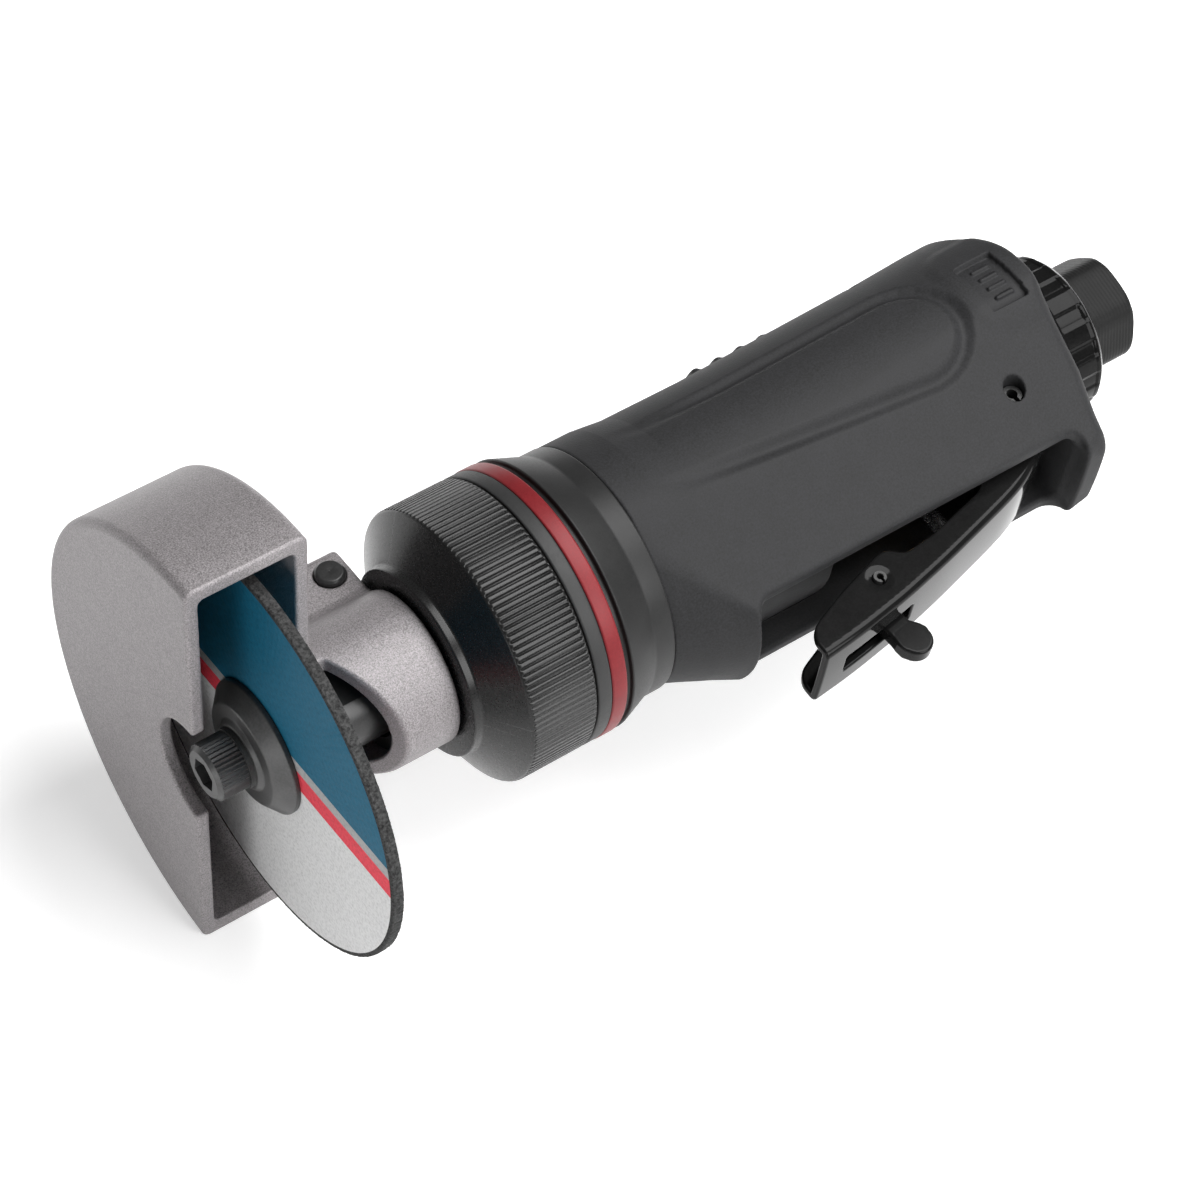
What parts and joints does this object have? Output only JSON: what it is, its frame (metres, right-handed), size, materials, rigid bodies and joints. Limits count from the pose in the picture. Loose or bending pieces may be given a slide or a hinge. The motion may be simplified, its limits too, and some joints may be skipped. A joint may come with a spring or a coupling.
{
  "type": "pneumatic cut-off tool",
  "caption": "Straight air-driven cut-off tool with a guarded cutting disc, a knurled front nut, a composite grip, a lever throttle with a lock-off latch and a threaded air inlet.",
  "frame": {"origin": "centre of the mouth of the air inlet, on the spindle axis", "axes": "+X along the spindle from the disc to the inlet, +Y away from the throttle lever, +Z square to the side of the grip"},
  "size_m": [0.1868, 0.0864, 0.0885],
  "materials": {
    "bright_steel": "turned steel, satin",
    "abrasive": "resin-bonded abrasive with a printed face",
    "cast_grey": "sand-textured cast aluminium",
    "dark_steel": "black oxide",
    "seal_rubber": "nitrile rubber",
    "black_anodised": "black anodised, semi-gloss",
    "matt_black": "matt black",
    "red_anodised": "red anodised",
    "bearing_steel": "ground steel",
    "vane_laminate": "phenolic laminate",
    "charcoal_composite": "charcoal glass-filled polymer, fine texture",
    "gloss_black": "gloss black coated steel",
    "spring_steel": "spring wire",
    "brass_bush": "turned brass",
    "blued_steel": "dark plated steel",
    "strainer_steel": "perforated sheet",
    "gloss_polymer": "gloss black polymer"
  },
  "bodies": {
    "housing": {"nose_piece": "dark_steel", "nose_seal": "seal_rubber", "spindle_seal": "seal_rubber", "clamp_nut": "black_anodised", "spacer_ring": "matt_black", "red_ring": "red_anodised", "motor_housing": "black_anodised", "front_bearing_outer": "bearing_steel", "front_end_plate": "bearing_steel", "motor_cylinder": "bearing_steel", "rear_end_plate": "bearing_steel", "rear_bearing_outer": "bearing_steel", "dowel_pin": "bearing_steel", "grip_housing": "charcoal_composite", "lever_pin": "dark_steel", "valve_bush": "brass_bush", "valve_bush_seal": "seal_rubber", "valve_spring": "spring_steel", "inlet_bush": "blued_steel", "inlet_strainer": "strainer_steel", "regulator_seal": "seal_rubber"},
    "spindle_set": {"spindle": "dark_steel", "inner_flange": "bright_steel", "cutting_disc": "abrasive", "outer_flange": "bright_steel", "disc_screw": "bright_steel", "front_bearing_inner": "bearing_steel", "rear_bearing_inner": "bearing_steel", "rotor": "bearing_steel", "vanes": "vane_laminate"},
    "front_balls": {"front_bearing_balls": "bearing_steel"},
    "rear_balls": {"rear_bearing_balls": "bearing_steel"},
    "guard_set": {"guard": "cast_grey", "guard_clamp_screw": "dark_steel"},
    "lever_set": {"throttle_lever": "gloss_black", "latch_pin": "dark_steel", "latch_spring": "spring_steel"},
    "latch_set": {"lock_off_latch": "gloss_black"},
    "valve_set": {"valve_stem": "bearing_steel", "valve_seal": "seal_rubber"},
    "regulator_set": {"regulator_ring": "gloss_polymer"}
  },
  "joints": [
    {"name": "spindle_spin", "type": "hinge", "parent": "housing", "child": "spindle_set", "pos_m": [-0.1168, 0, 0], "axis": [1, 0, 0], "continuous": true},
    {"name": "front_balls_orbit", "type": "hinge", "parent": "housing", "child": "front_balls", "pos_m": [-0.1328, 0, 0], "axis": [1, 0, 0], "continuous": true},
    {"name": "rear_balls_orbit", "type": "hinge", "parent": "housing", "child": "rear_balls", "pos_m": [-0.0838, 0, 0], "axis": [1, 0, 0], "continuous": true},
    {"name": "guard_turn", "type": "hinge", "parent": "housing", "child": "guard_set", "pos_m": [-0.1518, 0, 0], "axis": [1, 0, 0], "range_deg": [-90, 90]},
    {"name": "lever_squeeze", "type": "hinge", "parent": "housing", "child": "lever_set", "pos_m": [-0.0361, -0.0144, 0], "axis": [0, 0, -1], "range_deg": [0, 8], "stiffness_Nm_per_rad": 1.5, "springref_deg": -6.88},
    {"name": "latch_flip", "type": "hinge", "parent": "lever_set", "child": "latch_set", "pos_m": [-0.0743, -0.029, 0], "axis": [0, 0, -1], "range_deg": [0, 30], "stiffness_Nm_per_rad": 0.02, "springref_deg": -17.19},
    {"name": "valve_slide", "type": "slide", "parent": "housing", "child": "valve_set", "axis": [0, 1, 0], "range_m": [0, 0.0027], "deforming": ["valve_spring"]},
    {"name": "regulator_turn", "type": "hinge", "parent": "housing", "child": "regulator_set", "pos_m": [-0.0148, 0, 0], "axis": [1, 0, 0], "range_deg": [0, 90]}
  ],
  "couplings": [
    {"joint": "front_balls_orbit", "follows": "spindle_spin", "ratio": 0.3889},
    {"joint": "rear_balls_orbit", "follows": "spindle_spin", "ratio": 0.37},
    {"joint": "valve_slide", "follows": "lever_squeeze", "m_per_rad": 0.0187}
  ]
}
